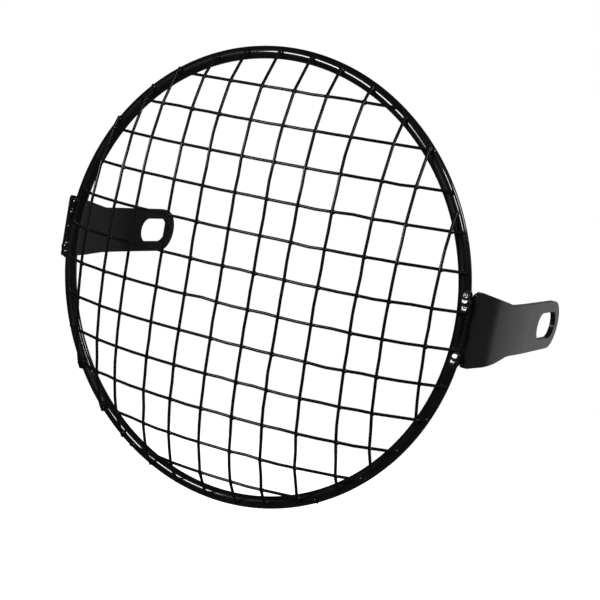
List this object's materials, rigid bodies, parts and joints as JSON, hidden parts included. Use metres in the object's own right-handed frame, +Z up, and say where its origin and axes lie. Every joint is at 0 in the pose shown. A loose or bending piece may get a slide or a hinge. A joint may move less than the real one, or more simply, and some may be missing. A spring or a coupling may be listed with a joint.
{
  "type": "headlight mesh grille",
  "caption": "Round domed wire mesh guard on a rod ring, with two slotted side brackets that reach back to a headlamp's mounting bolts.",
  "frame": {"origin": "centre of the rod ring, in the plane of its centre line", "axes": "-Y towards the front, where the mesh bulges; +Y back along the brackets; +Z up; +X to the right bracket in a front view"},
  "size_m": [0.178, 0.1013, 0.1653],
  "materials": {
    "black_enamel": "gloss"
  },
  "bodies": {
    "root": {"rim_ring": "black_enamel", "upright_wire_01": "black_enamel", "upright_wire_02": "black_enamel", "upright_wire_03": "black_enamel", "upright_wire_04": "black_enamel", "upright_wire_05": "black_enamel", "upright_wire_06": "black_enamel", "upright_wire_07": "black_enamel", "upright_wire_08": "black_enamel", "upright_wire_09": "black_enamel", "upright_wire_10": "black_enamel", "upright_wire_11": "black_enamel", "upright_wire_12": "black_enamel", "cross_wire_01": "black_enamel", "cross_wire_02": "black_enamel", "cross_wire_03": "black_enamel", "cross_wire_04": "black_enamel", "cross_wire_05": "black_enamel", "cross_wire_06": "black_enamel", "cross_wire_07": "black_enamel", "cross_wire_08": "black_enamel", "cross_wire_09": "black_enamel", "cross_wire_10": "black_enamel", "cross_wire_11": "black_enamel", "cross_wire_12": "black_enamel", "left_bracket": "black_enamel", "right_bracket": "black_enamel", "left_upper_weld": "black_enamel", "left_lower_weld": "black_enamel", "right_upper_weld": "black_enamel", "right_lower_weld": "black_enamel"}
  },
  "joints": []
}
